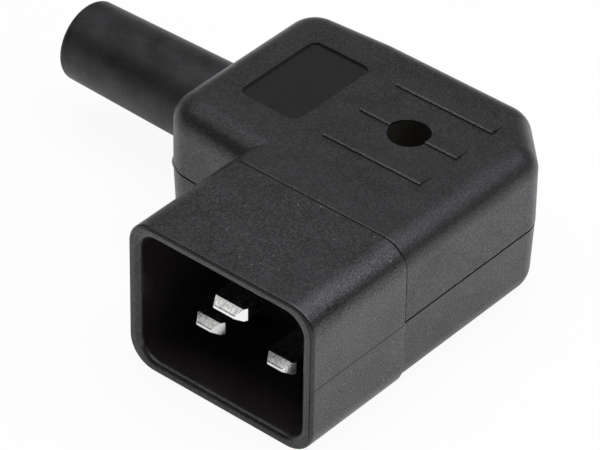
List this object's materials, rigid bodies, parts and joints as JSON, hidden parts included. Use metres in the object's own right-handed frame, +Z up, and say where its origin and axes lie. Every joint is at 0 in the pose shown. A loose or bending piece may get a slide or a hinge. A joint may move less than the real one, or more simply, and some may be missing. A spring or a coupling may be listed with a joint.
{
  "type": "right-angle appliance plug",
  "caption": "Rewirable right-angle appliance plug: flat blades inside a shroud, a two-shell plastic housing and a rubber cord boot leaving at the side.",
  "frame": {"origin": "on the flat underside of the lower shell, straight below the axis of the housing screw", "axes": "+Z up from the underside to the face with the grip wedges and the label field; -Y out of the plug face along the blades; -X out along the cord boot"},
  "size_m": [0.0787, 0.0575, 0.0255],
  "materials": {
    "shell_plastic": "fine spark-eroded grain",
    "carrier_plastic": "fine grain outside, smooth rim and recess",
    "blade_nickel": "nickel plate, brushed",
    "terminal_brass": "machined",
    "screw_steel": "zinc plate",
    "boot_rubber": "smooth, soft sheen",
    "clamp_plastic": "smooth moulded"
  },
  "bodies": {
    "root": {"upper_shell": "shell_plastic", "lower_shell": "shell_plastic", "pin_carrier": "carrier_plastic", "earth_blade": "blade_nickel", "line_blade": "blade_nickel", "neutral_blade": "blade_nickel", "earth_terminal": "terminal_brass", "line_terminal": "terminal_brass", "neutral_terminal": "terminal_brass", "terminal_screws": "screw_steel", "housing_screw": "screw_steel", "cord_boot": "boot_rubber", "cord_clamp": "clamp_plastic", "clamp_screws": "screw_steel"}
  },
  "joints": []
}
